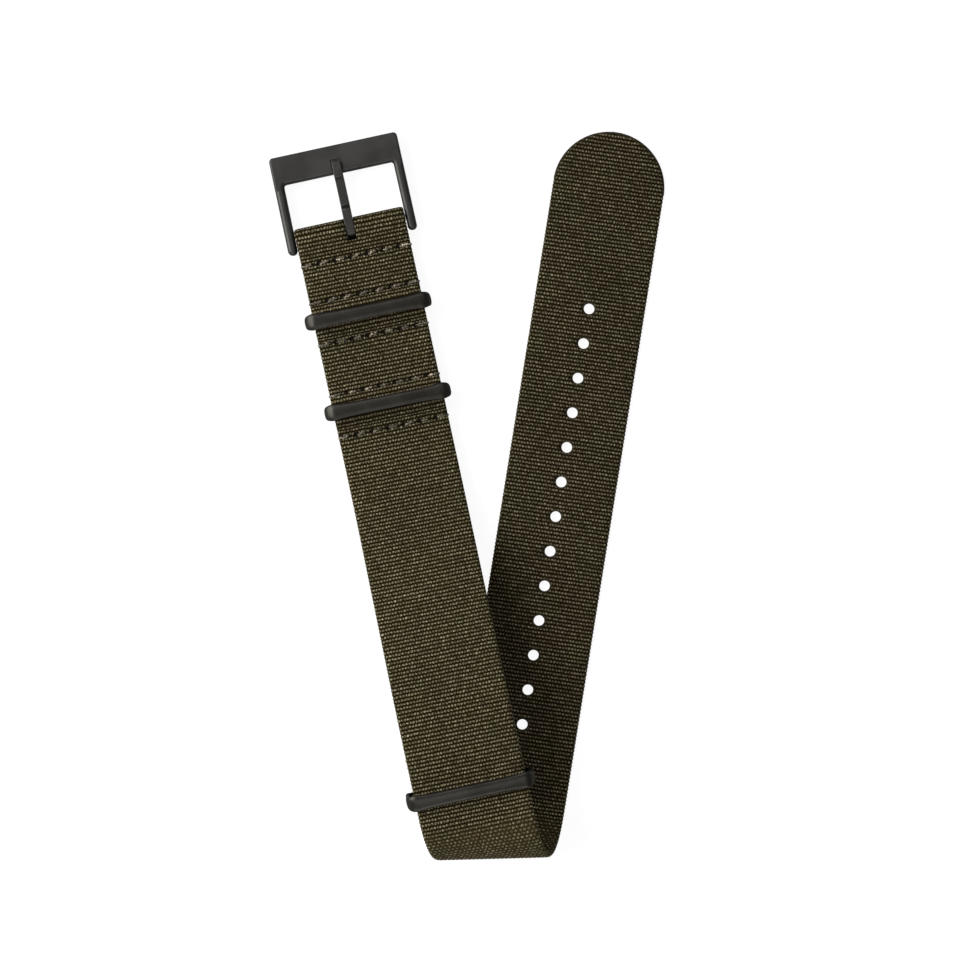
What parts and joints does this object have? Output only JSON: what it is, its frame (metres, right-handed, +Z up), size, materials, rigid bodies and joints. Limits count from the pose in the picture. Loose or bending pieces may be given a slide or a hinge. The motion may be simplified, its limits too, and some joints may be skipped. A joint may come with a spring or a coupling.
{
  "type": "nato watch strap",
  "caption": "Dark olive woven watch strap folded once into a V, with a black pin buckle, sewn end and flat metal keepers.",
  "frame": {"origin": "centre of the bounding box at the bottom, on the surface that the folded strap lies on", "axes": "+X along the crease of the fold, +Y up the middle of the V from the fold towards the buckle and the tip, +Z up"},
  "size_m": [0.0776, 0.1424, 0.021],
  "materials": {
    "webbing": "ribbed woven nylon, dark olive brown",
    "thread": "matching sewing thread",
    "black_steel": "satin black coated steel",
    "bar_steel": "plain satin steel"
  },
  "bodies": {
    "tail": {"webbing_tail_run": "webbing", "webbing_fold": "webbing"},
    "buckle_run": {"webbing_buckle_run": "webbing", "webbing_short_run": "webbing", "stitch_row_1": "thread", "stitch_row_2": "thread", "stitch_row_3": "thread", "stitch_row_4": "thread", "stitch_row_5": "thread", "stitch_end_loop": "thread"},
    "buckle": {"buckle_frame": "black_steel", "spring_bar_tube": "bar_steel", "spring_bar_plunger_left": "bar_steel", "spring_bar_plunger_right": "bar_steel"},
    "tongue": {"buckle_tongue": "black_steel"},
    "keeper_upper": {"keeper_upper": "black_steel"},
    "keeper_lower": {"keeper_lower": "black_steel"},
    "keeper_end": {"keeper_end": "black_steel"}
  },
  "joints": [
    {"name": "strap_fold", "type": "hinge", "parent": "tail", "child": "buckle_run", "pos_m": [0.00493, -0.0757, 0.0095], "axis": [1, 0, 0], "range_deg": [0, 170], "deforming": ["webbing_fold"]},
    {"name": "buckle_swing", "type": "hinge", "parent": "buckle_run", "child": "buckle", "pos_m": [-0.02322, 0.0526, 0.00215], "axis": [0.9826, 0.1857, 0], "range_deg": [-20, 20]},
    {"name": "tongue_swing", "type": "hinge", "parent": "buckle", "child": "tongue", "pos_m": [-0.02322, 0.0526, 0.00215], "axis": [0.9826, 0.1857, 0], "range_deg": [0, 80]},
    {"name": "keeper_upper_tilt", "type": "hinge", "parent": "buckle_run", "child": "keeper_upper", "pos_m": [-0.02009, 0.03605, 0.00215], "axis": [0.9848, 0.1736, 0], "range_deg": [-20, 20]},
    {"name": "keeper_lower_tilt", "type": "hinge", "parent": "buckle_run", "child": "keeper_lower", "pos_m": [-0.01673, 0.01826, 0.00215], "axis": [0.9848, 0.1736, 0], "range_deg": [-20, 20]},
    {"name": "keeper_end_tilt", "type": "hinge", "parent": "buckle_run", "child": "keeper_end", "pos_m": [-0.00267, -0.05617, 0.0152], "axis": [0.9826, 0.1857, 0], "range_deg": [-12, 4]}
  ]
}
